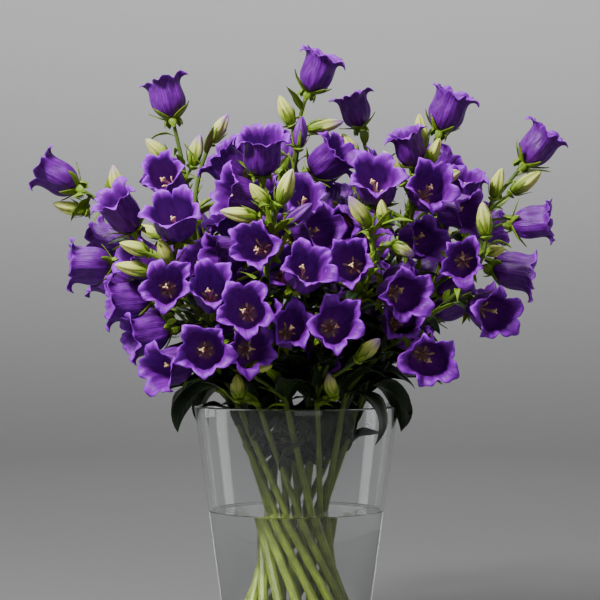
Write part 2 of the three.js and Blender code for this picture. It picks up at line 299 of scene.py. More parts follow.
class Shader:
    """A material whose nodes are added one call at a time."""

    def __init__(self, name):
        self.material = bpy.data.materials.new(name)
        self.material.use_nodes = True
        self.tree = self.material.node_tree
        self.surface = self.tree.nodes["Principled BSDF"]

    def connect(self, socket, value):
        if isinstance(value, Wire):
            self.tree.links.new(value.socket, socket)
        else:
            socket.default_value = value

    def node(self, kind, settings, inputs, output=0):
        made = self.tree.nodes.new(kind)
        for name, value in settings.items():
            setattr(made, name, value)
        for name, value in inputs.items():
            self.connect(made.inputs[name], value)
        return Wire(self, made.outputs[output])

    def mix(self, factor, first, second):
        """The colour that is first where factor is 0 and second where it is 1."""
        ends = [value if isinstance(value, Wire) else (*value, 1) for value in (first, second)]
        inputs = {0: factor, 6: ends[0], 7: ends[1]}
        return self.node("ShaderNodeMix", {"data_type": "RGBA"}, inputs, output=2)

    def across_and_along(self):
        """The two directions of the piece's own UV map."""
        uv = self.node("ShaderNodeUVMap", {"uv_map": "UVMap"}, {})
        return [self.node("ShaderNodeSeparateXYZ", {}, {0: uv}, output=i) for i in (0, 1)]

    def point(self, x, y, z):
        return self.node("ShaderNodeCombineXYZ", {}, {0: x, 1: y, 2: z})

    def places(self):
        return self.node("ShaderNodeTexCoord", {}, {}, output="Object")

    def height(self):
        return self.node("ShaderNodeSeparateXYZ", {}, {0: self.places()}, output=2)

    def noise(self, place, scale, detail=3.0):
        inputs = {"Vector": place, "Scale": scale, "Detail": detail}
        return self.node("ShaderNodeTexNoise", {}, inputs, output="Fac")

    def attribute(self, name):
        settings = {"attribute_type": "GEOMETRY", "attribute_name": name}
        return self.node("ShaderNodeAttribute", settings, {}, output="Fac")

    def bump(self, height, distance, strength=1.0):
        inputs = {"Strength": strength, "Distance": distance, "Height": height}
        return self.node("ShaderNodeBump", {}, inputs)

    def finish(self, values):
        for name, value in values.items():
            self.connect(self.surface.inputs[name], value)
        return self.material


def petal_streaks(shader, across, along, fineness, stretch):
    """Streaks that run along the petals and meet where the bell's UV map closes."""
    turn = across * math.tau
    ring = shader.point(turn.cosine() * fineness, turn.sine() * fineness, along * stretch)
    return shader.noise(ring, 1.0, 4.0)


def petal_outside(settings):
    shader = Shader("petal_outside")
    across, along = shader.across_and_along()
    midrib = ((across * LOBES).fraction() - 0.5).size() * 2
    streaks = petal_streaks(shader, across, along, 14, 3.5)
    mottle = shader.noise(shader.places(), 130)
    deep = tuple(0.55 * part for part in settings.violet)
    body = shader.mix(mottle.between(0.3, 0.75), deep, settings.violet)
    veined = shader.mix(streaks.between(0.48, 0.72) * 0.45, body, settings.lilac)
    ribbed = shader.mix(midrib.between(0.9, 1.0) * 0.35, veined, settings.lilac)
    # Painted highlight: lilac laid on the last tenth of each petal, along its rim.
    edge = along.between(0.9, 1.0) * 0.55
    relief = streaks * 0.7 + mottle * 0.3
    return shader.finish(
        {
            "Base Color": shader.mix(edge, ribbed, settings.lilac),
            "Roughness": streaks * 0.16 + 0.34,
            "Specular IOR Level": 0.32,
            "Normal": shader.bump(relief, 0.0016, 0.8),
        }
    )


def petal_inside(settings):
    shader = Shader("petal_inside")
    across, along = shader.across_and_along()
    midrib = ((across * LOBES).fraction() - 0.5).size() * 2
    streaks = petal_streaks(shader, across, along, 18, 3)
    mottle = shader.noise(shader.places(), 220)
    inner = shader.mix(streaks.between(0.4, 0.7) * 0.4, settings.throat, settings.lilac)
    # Painted light: the throat colour deep in the bell gives way to violet towards the mouth.
    painted_throat_light = shader.mix(along.between(0.5, 0.85), inner, settings.violet)
    # Painted highlight: lilac on the rim of each petal's inside, near the mouth.
    painted_rim_highlight = shader.mix((along + mottle * 0.08).between(0.9, 1.03), painted_throat_light, settings.lilac)
    ribbed = shader.mix(midrib.between(0.93, 1.0) * along * 0.3, painted_rim_highlight, settings.lilac)
    base = 1 - (along + mottle * 0.1).between(0.14, 0.26)
    return shader.finish(
        {
            "Base Color": shader.mix(base * 0.7, ribbed, (0.50, 0.30, 0.22)),
            "Roughness": streaks * 0.15 + 0.4,
            "Specular IOR Level": 0.28,
            "Normal": shader.bump(streaks * 0.6 + mottle * 0.4, 0.0014, 0.8),
        }
    )


def pistil_cream(settings):
    shader = Shader("pistil_cream")
    grain = shader.noise(shader.places(), 900)
    tanned = tuple(part * shade for part, shade in zip(settings.cream, (0.62, 0.45, 0.30)))
    return shader.finish(
        {
            "Base Color": shader.mix(grain.between(0.42, 0.7), settings.cream, tanned),
            "Roughness": 0.6,
            "Normal": shader.bump(grain, 0.0004, 0.8),
        }
    )


def bud_skin(settings, bells):
    shader = Shader("bud_skin")
    across, along = shader.across_and_along()
    ripeness = shader.attribute("ripeness")
    fold = ((across * LOBES).fraction() - 0.5).size() * 2
    streaks = petal_streaks(shader, across, along, 9, 2.5)
    body = shader.mix(along.between(0.15, 0.6), settings.green, settings.cream)
    ribs = shader.mix(fold.between(0.75, 1.0) * 0.6, body, settings.green)
    tip = (along + streaks * 0.3).between(0.7, 1.2) * ripeness.between(0.15, 0.6)
    tipped = shader.mix(tip * 0.85, ribs, bells.lilac)
    stripe = (1 - fold.between(0.0, 0.35)) * ripeness.between(0.4, 0.7)
    striped = shader.mix(stripe * 0.8, tipped, bells.violet)
    violet = (ripeness + streaks * 0.3).between(0.95, 1.15)
    return shader.finish(
        {
            "Base Color": shader.mix(violet, striped, bells.violet),
            "Roughness": streaks * 0.2 + 0.38,
            "Specular IOR Level": 0.4,
            "Normal": shader.bump(streaks, 0.0006, 0.7),
        }
    )


def leaf_skin(name, settings_colour, pale, gloss):
    """A leaf's skin, with a pale midrib, side veins and a soft mottle."""
    shader = Shader(name)
    across, along = shader.across_and_along()
    from_rib = (across - 0.5).size() * 2
    mottle = shader.noise(shader.places(), 160)
    side_veins = (((along * 11 - from_rib * 1.6).fraction() - 0.5).size() * 2).between(0.8, 1.0)
    rib = 1 - from_rib.between(0.02, 0.14)
    veins = side_veins * 0.5 + rib
    light = tuple(part * pale for part in settings_colour)
    deep = tuple(part * 0.6 for part in settings_colour)
    body = shader.mix(mottle.between(0.3, 0.7), deep, settings_colour)
    return shader.finish(
        {
            "Base Color": shader.mix(veins.between(0.0, 1.0) * 0.75, body, light),
            "Roughness": mottle * 0.2 + gloss,
            "Specular IOR Level": 0.35,
            "Normal": shader.bump(mottle * 0.5 + veins * 0.5, 0.0009, 0.8),
        }
    )


def stalk_skin(settings):
    """A stem's skin: yellow-green in the water, darker above, with fine ribs along it."""
    shader = Shader("stalk_skin")
    across, along = shader.across_and_along()
    ribs = (across * math.tau * 9).sine() * 0.5 + 0.5
    blotches = shader.noise(shader.places(), 45)
    fine = shader.noise(shader.places(), 420)
    climb = (shader.height() + blotches * 0.05).between(0.15, 0.34)
    # The pale colour is partly the stems' own paler tone, in random patches and along the ribs, and
    # partly a painted highlight.
    pale = tuple(min(1, 2.4 * part) for part in settings.fresh)
    wet = shader.mix(blotches.between(0.35, 0.7), settings.fresh, pale)
    body = shader.mix(climb, wet, settings.shaded)
    return shader.finish(
        {
            "Base Color": shader.mix(ribs * fine * 0.5, body, pale),
            "Roughness": fine * 0.2 + 0.35,
            "Specular IOR Level": 0.45,
            "Normal": shader.bump(ribs * 0.7 + fine * 0.3, 0.0005, 0.8),
        }
    )


def see_through(name, tint, ior, roughness):
    """Clear glass or water that lets the lamps' light through to what stands behind it."""
    shader = Shader(name)
    shader.finish(
        {
            "Base Color": (*tint, 1),
            "Roughness": roughness,
            "IOR": ior,
            "Transmission Weight": 1.0,
        }
    )
    shadow = shader.node("ShaderNodeLightPath", {}, {}, output="Is Shadow Ray")
    clear = shader.node("ShaderNodeBsdfTransparent", {}, {"Color": (*tint, 1)})
    body = Wire(shader, shader.surface.outputs[0])
    mixed = shader.node("ShaderNodeMixShader", {}, {0: shadow, 1: body, 2: clear})
    shader.connect(shader.tree.nodes["Material Output"].inputs["Surface"], mixed)
    return shader.material


def floor_paint(settings):
    shader = Shader("floor_paint")
    grain = shader.noise(shader.places(), 60)
    dark = tuple(part * 0.15 for part in settings.floor)
    # Painted shade: the floor and backdrop darken the lower they are, down to 0.15 of their colour,
    # standing for the light falling off.
    painted_shade_grade = shader.mix((shader.height() + grain * 0.05).between(-0.6, 2.2), dark, settings.floor)
    return shader.finish({"Base Color": painted_shade_grade, "Roughness": 0.8})


# ---- Shapes ----


def facing(turn, tilt):
    """The way of a turn from the front towards +X and a tilt above the horizon, in degrees."""
    turn, tilt = math.radians(turn), math.radians(tilt)
    across = math.cos(tilt)
    return Vector((math.sin(turn) * across, -math.cos(turn) * across, math.sin(tilt)))


def round_axis(turn, radius=1.0, height=0.0):
    """The point at a turn round the Z axis, a distance from it and a height."""
    return Vector((math.cos(turn) * radius, math.sin(turn) * radius, height))


def basis(place, way, side):
    """The matrix that takes +Z to way, +X as near to side as it can, and the origin to place."""
    way = way.normalized()
    right = (side - way * side.dot(way)).normalized()
    turned = Matrix((right, way.cross(right), way)).transposed().to_4x4()
    return Matrix.Translation(place) @ turned


def value_at(table, place):
    """The value between the rows of a (place, value) table."""
    for (low, first), (high, second) in zip(table, table[1:]):
        if place <= high:
            return first + (second - first) * (place - low) / (high - low)
    return table[-1][1]


def grid(bm, across, along, material):
    """The corners and the faces of a new flat grid, from -0.5 to 0.5 both ways."""
    made = bmesh.ops.create_grid(bm, x_segments=across, y_segments=along, size=0.5, calc_uvs=True)
    faces = list(dict.fromkeys(face for corner in made["verts"] for face in corner.link_faces))
    for face in faces:
        face.material_index = material
        face.smooth = True
    return made["verts"], faces


def wrapped(bm, around, along, place, material=0):
    """A grid closed round on itself, with place(turn, share) giving each corner's point."""
    corners, _ = grid(bm, around, along, material)
    for corner in corners:
        corner.co = place((corner.co.x + 0.5) * math.tau, corner.co.y + 0.5)
    bmesh.ops.remove_doubles(bm, verts=corners, dist=MERGE)


def sheet(bm, across, along, place, material=0, wall=LEAF_WALL):
    """A thin plate: a grid with place(side, share) giving each corner's point, side from -1 to 1."""
    corners, faces = grid(bm, across, along, material)
    for corner in corners:
        corner.co = place(corner.co.x * 2, corner.co.y + 0.5)
    bmesh.ops.solidify(bm, geom=faces, thickness=wall)


def add_to(bm, matrix, adding):
    """Adds to a shape what adding(bm) makes at the origin, moved by the matrix."""
    known = set(bm.verts)
    adding(bm)
    bmesh.ops.transform(bm, matrix=matrix, verts=[corner for corner in bm.verts if corner not in known])


def new_shape():
    bm = bmesh.new()
    bm.loops.layers.uv.new("UVMap")
    return bm


def linked(name, data):
    """A new object in the scene."""
    made = bpy.data.objects.new(name, data)
    bpy.context.scene.collection.objects.link(made)
    return made


def mesh_object(name, bm, materials):
    """The object made of a shape."""
    mesh = bpy.data.meshes.new(name)
    bm.to_mesh(mesh)
    bm.free()
    for material in materials:
        mesh.materials.append(material)
    return linked(name, mesh)


def finished(name, bm, materials, replaced=(), thickness=0.0, inner=0):
    """The piece made of a shape, riding on the bunch's one body."""
    piece = mesh_object(name, bm, materials)
    if thickness:
        wall = piece.modifiers.new("Thickness", "SOLIDIFY")
        wall.thickness = thickness
        wall.offset = -1
        wall.material_offset = inner
    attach(piece, "root")
    if replaced:
        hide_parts(*replaced)
    return piece


# ---- Routes ----


class Bend:
    """A cubic Bezier curve."""

    def __init__(self, start, leaving, arriving, end):
        self.points = (start, leaving, arriving, end)

    def at(self, t):
        a, b, c, d = self.points
        u = 1 - t
        return a * u**3 + b * (3 * u * u * t) + c * (3 * u * t * t) + d * t**3

    def way(self, t):
        a, b, c, d = self.points
        u = 1 - t
        return ((b - a) * (u * u) + (c - b) * (2 * u * t) + (d - c) * (t * t)).normalized()


class Stem:
    """A flowering stem: its line, its bells' poses and its buds."""

    PULL = 0.3  # how far each end of the bent part runs straight, as a share of its reach
    SIDE_PULL = 0.35
    RISE = 0.8  # how far below its flower a side stalk starts, as a share of the way across
    ACROSS = 0.5  # how much a long way across counts against a starting place
    LAST = 0.93  # the highest starting place, as a share of the bent part
    PLACES = 56

    def __init__(self, number, settings):
        count, tip, buds = SPIKES[number - 1]
        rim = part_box("vase")[1].z
        climb = rim - settings.waist_height
        twist = math.atan2(settings.lean * climb, settings.waist)
        angle = settings.first_turn + math.tau / len(SPIKES) * (number - 1) + twist
        self.number = number
        self.slope = Vector((math.sin(angle) * settings.lean, -math.cos(angle) * settings.lean, 1))
        self.waist = round_axis(angle) * settings.waist
        self.waist_height = settings.waist_height
        self.bells = [read_bell(f"flower_{number:02}_{i + 1}") for i in range(count)]
        self.buds = [Bud(*row) for row in buds]
        ends = [(bell.foot - bell.way * BELL_SOCKET, bell.way) for bell in self.bells]
        bud_ends = [(bud.foot + bud.way * BUD_SOCKET, bud.way) for bud in self.buds]
        ends = bud_ends + ends if tip == "bud" else ends + bud_ends
        self.foot = self.at_height(settings.foot)
        self.rim = self.at_height(rim)
        end, way = ends[0]
        self.bent = self.bend(self.rim, self.slope.normalized(), end, way, self.PULL)
        self.sides = [self.side_stalk(*pair) for pair in ends[1:]]

    def at_height(self, z):
        place = self.waist + self.slope * (z - self.waist_height)
        return Vector((place.x, place.y, z))

    @staticmethod
    def bend(start, leaving, end, way, pull):
        reach = (start - end).length * pull
        return Bend(start, start + leaving * reach, end - way * reach, end)

    def side_stalk(self, end, way):
        """Where a side stalk leaves the stem, and its line."""
        _, t = self.start(end)
        return t, self.bend(self.bent.at(t), self.bent.way(t), end, way, self.SIDE_PULL)

    def start(self, end):
        """The best place for a side stalk to start, as its cost and its share of the bent part."""

        def cost(t):
            start = self.bent.at(t)
            across = math.hypot(start.x - end.x, start.y - end.y)
            return abs(end.z - start.z - self.RISE * across) + self.ACROSS * across

        return min((cost(t), t) for t in (i / self.PLACES * self.LAST for i in range(self.PLACES + 1)))


class Bud:
    """An unopened flower."""

    def __init__(self, x, y, z, turn, tilt, length, ripeness):
        self.foot = Vector((x, y, z))
        self.way = facing(turn, tilt)
        self.length = length
        self.ripeness = ripeness


class BellPose:
    """Where an open bell grows, the way that it opens, the side of its first lobe, and its length."""

    def __init__(self, foot, way, side, length):
        self.foot = foot
        self.way = way
        self.side = side
        self.length = length

    def matrix(self):
        return basis(self.foot, self.way, self.side)


def read_bell(node):
    """A bell's pose, from the corners of its CAD node: its lobes' tips lie farthest from its middle."""
    corners = {tuple(round(part, 6) for part in v.co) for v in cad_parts[node].data.vertices}
    corners = [Vector(corner) for corner in sorted(corners)]
    middle = sum(corners, Vector()) / len(corners)
    tips = sorted(corners, key=lambda corner: (corner - middle).length)[-LOBES:]
    mouth = sum(tips, Vector()) / LOBES
    foot = min(corners, key=lambda corner: corner.dot(mouth - middle))
    return BellPose(foot, (mouth - foot).normalized(), tips[0] - mouth, (mouth - foot).length)


# ---- Filling the bunch ----

# Bells between those of the frame: (x, y, z, turn, tilt, size) of the middle of each.
FILLERS = (
    (-0.007, -0.155, 0.336, 10, 16, 0.90),
    (-0.053, -0.110, 0.459, -60, 15, 1.00),
    (0.165, -0.050, 0.471, 20, 62, 0.85),
    (0.043, -0.100, 0.436, -20, -20, 0.90),
    (0.006, -0.095, 0.454, 10, 30, 0.95),
    (0.116, -0.080, 0.421, 30, 5, 0.95),
    (0.078, 0.150, 0.455, 160, 20, 1.00),
)
DOME = Vector((0.225, 0.165, 0.235))  # half the size of the bunch's head
DOME_FOOT = Vector((0, 0, 0.305))
LOWEST = 0.30  # the height of the lowest filling bell over the axis; it rises to the sides
STALK_GAP = 0.002  # between a filling bell and any stalk or bud


def crowd(pose):
    """Two balls that a bell fills: their middles and radii."""
    scale = pose.length / BellShape.CAD_LENGTH
    return [
        (pose.foot + pose.way * (0.30 * pose.length), 0.0145 * scale),
        (pose.foot + pose.way * (0.78 * pose.length), 0.0185 * scale),
    ]


def bell_at(middle, turn, tilt, scale):
    way, length = facing(turn, tilt), BellShape.CAD_LENGTH * scale
    return BellPose(middle - way * (length / 2), way, way.orthogonal(), length)


def filling(stems, settings):
    """The bells that fill the bunch, as a list of poses for each stem, clear of one another."""
    lines = [(stem.bent, 40) for stem in stems]
    lines += [(side, 10) for stem in stems for _, side in stem.sides]
    taken = [line.at(i / steps) for line, steps in lines for i in range(steps + 1)]
    buds = [bud for stem in stems for bud in stem.buds]
    taken += [bud.foot + bud.way * (bud.length * part) for bud in buds for part in (0.2, 0.8)]
    tree = kdtree.KDTree(len(taken))
    for i, place in enumerate(taken):
        tree.insert(place, i)
    tree.balance()
    balls = [ball for stem in stems for bell in stem.bells for ball in crowd(bell)]
    poses = [bell_at(Vector(row[:3]), *row[3:]) for row in FILLERS]
    balls += [ball for pose in poses for ball in crowd(pose)]
    luck = random.Random("filling")
    for _ in range(settings.tries):
        turn, tilt = luck.uniform(-180, 180), luck.uniform(-5, 80)
        way, reach = facing(turn, tilt), luck.uniform(0.35, 0.92)
        middle = DOME_FOOT + Vector([part * size * reach for part, size in zip(way, DOME)])
        if middle.z < LOWEST + 0.3 * abs(middle.x):
            continue
        pose = bell_at(middle, turn + luck.uniform(-25, 25), tilt * 0.6 + luck.uniform(-10, 15),
                       luck.uniform(0.8, 1.0))
        new = crowd(pose)
        if any((a - b).length < r + q for a, r in new for b, q in balls):
            continue
        if any(tree.find(place)[2] < radius + STALK_GAP for place, radius in new):
            continue
        poses.append(pose)
        balls += new
        if len(poses) == settings.fillers:
            break
    chosen = [[] for _ in stems]
    for pose in poses:
        costs = [stem.start(pose.foot)[0] for stem in stems]
        chosen[costs.index(min(costs))].append(pose)
    return chosen


# ---- Stalks ----


def sweep(bm, route, radius, sides, steps, material=0):
    """A tube along route(t), with radius(t), closed by a point at the middle of each end."""
    rows = steps + 2
    first, last = route(0.01) - route(0), route(1) - route(0.99)
    side = first.cross(last)
    if side.length < 0.05 * first.length * last.length:
        side = first.orthogonal()

    def place(turn, share):
        t = min(1, max(0, (share * rows - 1) / steps))
        ahead = route(min(1, t + 0.01)) - route(max(0, t - 0.01))
        reach = radius(t) if MERGE < share < 1 - MERGE else 0
        return basis(route(t), ahead, side) @ round_axis(turn, reach)

    wrapped(bm, sides, rows, place, material)


def make_stalks(stem, settings, skin):
    """A stem from its cut end to its tip, with its side stalks, its joints slightly swollen."""
    bm = new_shape()
    girth = piece_luck("stem", stem.number).uniform(0.82, 1.08)

    def thickness(height):
        """The radius at a share of the way from the cut end to the tip."""
        taper = settings.thick * girth + (settings.thin - settings.thick * girth) * height
        joint = (height * 7 + stem.number / len(SPIKES)) % 1
        return taper * (1 + 0.13 * math.exp(-(((joint - 0.5) / 0.05) ** 2)))

    straight = (stem.rim - stem.foot).length
    whole = straight + (stem.rim - stem.bent.at(1)).length
    split = straight / whole

    def route(t):
        if t < split:
            return stem.foot.lerp(stem.rim, t / split)
        return stem.bent.at((t - split) / (1 - split))

    sweep(bm, route, thickness, 14, 56)
    for t, line in stem.sides:
        sweep(bm, line.at, lambda along: settings.side * (1.25 - 0.25 * along), 8, 12)
    return finished(f"stalks_{stem.number:02}", bm, [skin], [f"stem_{stem.number:02}"])


def make_middle_stalks(settings, skin, luck):
    """Stems without bells of their own that stand in the middle of the bunch, crossing at its waist."""
    bm = new_shape()
    for i in range(settings.middle):
        angle = math.tau * (i + luck.uniform(-0.1, 0.1)) / settings.middle
        waist = round_axis(angle) * (settings.waist * 0.44)
        slope = Vector((math.sin(angle), -math.cos(angle), 0)) * (settings.lean * 0.3)
        girth = settings.thick * luck.uniform(0.75, 0.95)
        foot, top = (
            waist + slope * (z - settings.waist_height) + Vector((0, 0, z))
            for z in (settings.foot, settings.waist_height + 0.23)
        )
        sweep(bm, lambda t: foot.lerp(top, t), lambda t: girth * (1 - 0.35 * t), 12, 16)
    return finished("stalks_middle", bm, [skin])


# ---- Bells ----


class BellShape:
    """The shape of one bell's petals, in its own space: its foot at the origin, opening along +Z."""

    STEPS = 18  # for adding up a petal's line
    CAD_LENGTH = 0.042  # of a bell at size 1

    def __init__(self, settings, length, luck):
        self.scale = length / self.CAD_LENGTH
        self.settings = settings
        self.curls = [luck.uniform(-12, 50) for _ in range(LOBES)]
        self.sways = [luck.uniform(-0.16, 0.16) for _ in range(LOBES)]
        self.reaches = [luck.uniform(0.97, 1.02) for _ in range(LOBES)]
        self.girth = luck.uniform(0.95, 1.04)
        self.squash = luck.uniform(0.02, 0.12)
        self.squash_turn = luck.uniform(0, math.tau)
        self.drift = Vector((luck.uniform(-1, 1), luck.uniform(-1, 1), 0)) * 0.0022
        self.phases = [luck.uniform(0, math.tau) for _ in range(4)]

    def lean(self, share, curl):
        over = max(0.0, share - LOBE_START) / (1 - LOBE_START)
        return math.radians(value_at(PETAL_LEANS, share) + curl * over)

    def line(self, share, curl=0.0):
        """The distance from the axis and the height at a share of a petal's length."""
        radius = height = 0.0
        step = share / self.STEPS
        for i in range(self.STEPS):
            lean = self.lean((i + 0.5) * step, curl)
            radius += math.sin(lean) * step
            height += math.cos(lean) * step
        size = self.settings.petal * self.scale
        return radius * size * self.girth, height * size

    def point(self, turn, share):
        lobe = round(turn / math.tau * LOBES)
        off = abs(turn / math.tau * LOBES - lobe) * 2
        lobe %= LOBES
        edge = self.reaches[lobe] - self.settings.lobe * off**3 + 0.024 * math.exp(-((off / 0.16) ** 2))
        along = share * edge
        curl = self.curls[lobe] * (1 - off * off) + 34 * math.exp(-((off / 0.2) ** 2))
        radius, height = self.line(along, curl)
        over = max(0.0, along - LOBE_START) / (1 - LOBE_START)
        rise = min(1.0, along / 0.3)
        belt = math.sin(min(1.0, max(0.0, (along - 0.2) / 0.75)) * math.pi)
        radius += self.settings.ridge * math.exp(-((off / 0.15) ** 2)) * rise
        radius -= self.settings.pleat * math.exp(-(((1 - off) / 0.24) ** 2)) * belt
        first, second, third, fourth = self.phases
        radius += 0.0007 * math.sin(3 * turn + first + 6 * along) * rise
        radius += 0.0004 * math.sin(9 * turn + second - 9 * along) * belt
        radius += 0.0007 * math.sin(13 * turn + fourth) * over
        height += 0.0011 * math.sin(8 * turn + third) * over
        height += 0.0006 * math.sin(19 * turn + fourth) * over
        radius *= 1 + self.squash * math.cos(2 * (turn - self.squash_turn)) * rise
        turn += self.sways[lobe] * over * (1 - off * off)
        drift = self.drift * (height / (self.CAD_LENGTH * self.scale)) ** 2
        return round_axis(turn, radius, height) + drift


def make_bell(name, node, pose, shape, settings, skins):
    bm = new_shape()
    wrapped(bm, 80, 20, shape.point)
    bm.transform(pose.matrix())
    return finished(name, bm, skins, [node], thickness=settings.wall, inner=1)


def add_sepal(bm, shape, turn, luck):
    """A narrow pointed sepal that follows its bell's side and then leaves it."""
    reach = luck.uniform(0.27, 0.38)
    flare = luck.uniform(0.002, 0.010)
    twist = luck.uniform(-0.25, 0.25)
    half = luck.uniform(0.0046, 0.0058) * shape.scale

    def place(side, share):
        along = 0.09 + reach * share
        radius, height = shape.line(along)
        lean = shape.lean(along, 0)
        off = 0.0011 + flare * share**2.4 - 0.0006 * side * side
        width = half * (1 - share) ** 0.75 * (0.75 + 0.5 * share)
        here = turn + side * width / radius + twist * share * share
        radius += off * math.cos(lean)
        height -= off * math.sin(lean)
        return round_axis(here, radius, height)

    sheet(bm, 4, 9, place)


def add_flap(bm, shape, turn):
    """One of the small flaps that hang back between the sepals, over the ovary."""

    def place(side, share):
        width = 0.0042 * shape.scale * max(0, math.sin(math.pi * (0.2 + 0.8 * share))) ** 0.8
        radius = (0.0068 + 0.0030 * math.sin(share * 2.4)) * shape.scale
        return round_axis(turn + side * width / radius, radius, (0.0020 - 0.0110 * share) * shape.scale)

    sheet(bm, 4, 5, place)


def add_ovary(bm, scale, radius):
    """The ribbed cup that a flower sits on."""
    profile = ((0, 0.12), (0.12, 0.3), (0.35, 0.66), (0.6, 0.92), (0.85, 1.0), (0.95, 0.8), (1, 0))

    def place(turn, share):
        reach = radius * value_at(profile, share) * (1 + 0.09 * math.cos(5 * turn))
        if share < MERGE:
            reach = 0
        return round_axis(turn, reach, (share * 7.1 - 7) * 0.001 * scale)

    wrapped(bm, 30, 8, place)


def add_pistil(bm, shape, luck):
    """The cream pistil, with its curled stigma, and the withered stamens round its foot."""
    top = 0.027 * shape.scale * luck.uniform(0.85, 1.1)
    lean = Vector((luck.uniform(-1, 1), luck.uniform(-1, 1), 0)) * 0.003
    profile = ((0, 1.0), (0.12, 0.6), (0.5, 0.5), (0.75, 0.6), (0.9, 1.0), (1, 0.8))

    def route(t):
        return Vector((0, 0, 0.001 + t * top)) + lean * (t * t)

    sweep(bm, route, lambda t: 0.0019 * value_at(profile, t), 10, 12, material=1)
    tip = route(1)
    for i in range(3):
        out = round_axis(i * math.tau / 3 + top)
        up = Vector((0, 0, 1))
        curl = Bend(tip - up * 0.002, tip + up * 0.002 + out * 0.0005, tip + up * 0.002 + out * 0.0026,
                    tip - up * 0.0006 + out * 0.0027)
        sweep(bm, curl.at, lambda t: 0.0012 * (1 - 0.5 * t), 6, 6, material=1)
    for i in range(LOBES):
        turn = (i + luck.uniform(0.3, 0.7)) * math.tau / LOBES
        out = round_axis(turn)
        reach = luck.uniform(0.008, 0.014)
        foot = Vector((0, 0, 0.002)) + out * 0.003
        fall = Bend(foot, foot + Vector((0, 0, reach * 0.6)), foot + Vector((0, 0, reach)) + out * 0.001,
                    foot + Vector((0, 0, reach * 0.9)) + out * luck.uniform(0.003, 0.007))
        sweep(bm, fall.at, lambda t: 0.0008 + 0.0003 * math.sin(t * 9), 5, 6, material=1)


def add_heart(bm, shape, luck):
    add_ovary(bm, shape.scale, 0.0066 * shape.scale)
    for i in range(LOBES):
        add_sepal(bm, shape, (i + 0.5) * math.tau / LOBES, luck)
        add_flap(bm, shape, i * math.tau / LOBES)
    add_pistil(bm, shape, luck)


def make_heart(name, pose, shape, skins, luck):
    """What holds a bell and stands in it: its ovary, sepals and flaps, and its pistil and stamens."""
    bm = new_shape()
    add_heart(bm, shape, luck)
    bm.transform(pose.matrix())
    return finished(name, bm, skins)


# ---- Buds ----

# A bud's radius, as a share of its widest, at shares of the way along it.
BUD_OUTLINE = (
    (0, 0.3), (0.04, 0.6), (0.15, 0.85), (0.34, 1.0), (0.55, 0.95),
    (0.75, 0.72), (0.88, 0.45), (0.97, 0.18), (1.0, 0.0),
)


def add_bud(bm, bud, settings, luck):
    """A pleated, pointed bud with its sepals laid against it."""
    layer = bm.verts.layers.float["ripeness"]
    known = set(bm.verts)
    twist = luck.uniform(0.3, 1.0)
    radius = settings.radius * luck.uniform(0.85, 1.1) * (0.75 + 0.35 * bud.length / 0.034)
    bow = luck.uniform(-0.0015, 0.0015)

    def place(turn, share):
        fold = math.cos(LOBES * (turn + twist * share))
        reach = radius * value_at(BUD_OUTLINE, share) * (1 + 0.14 * fold * min(1, share * 3))
        if share < MERGE:
            reach = 0
        x = math.cos(turn) * reach + bow * math.sin(share * math.pi)
        return Vector((x, math.sin(turn) * reach, share * bud.length))

    wrapped(bm, 40, 18, place, material=1)
    for i in range(LOBES):
        add_bud_sepal(bm, (i + 0.5) * math.tau / LOBES, radius, bud.length, luck)
    add_ovary(bm, 0.7, radius * 0.85)
    own = [vertex for vertex in bm.verts if vertex not in known]
    turned = basis(bud.foot, bud.way, Vector((luck.random(), 1, 0.3)))
    bmesh.ops.transform(bm, matrix=turned, verts=own)
    for vertex in own:
        vertex[layer] = bud.ripeness


def add_bud_sepal(bm, turn, radius, length, luck):
    reach = luck.uniform(0.42, 0.58)
    flare = luck.uniform(0.0005, 0.0045)
    half = luck.uniform(0.0026, 0.0033)

    def place(side, share):
        along = 0.02 + reach * share
        out = radius * (value_at(BUD_OUTLINE, along) * 1.12) + 0.0006 + flare * share**2.5
        width = half * (1 - share) ** 0.8 * (0.8 + 0.4 * share)
        return round_axis(turn + side * width / out, out, along * length)

    sheet(bm, 4, 7, place, wall=BUD_SEPAL_WALL)


def make_buds(stem, settings, skins, luck):
    bm = new_shape()
    bm.verts.layers.float.new("ripeness")
    for bud in stem.buds:
        add_bud(bm, bud, settings, luck)
    return finished(f"buds_{stem.number:02}", bm, skins)


# ---- Leaves ----


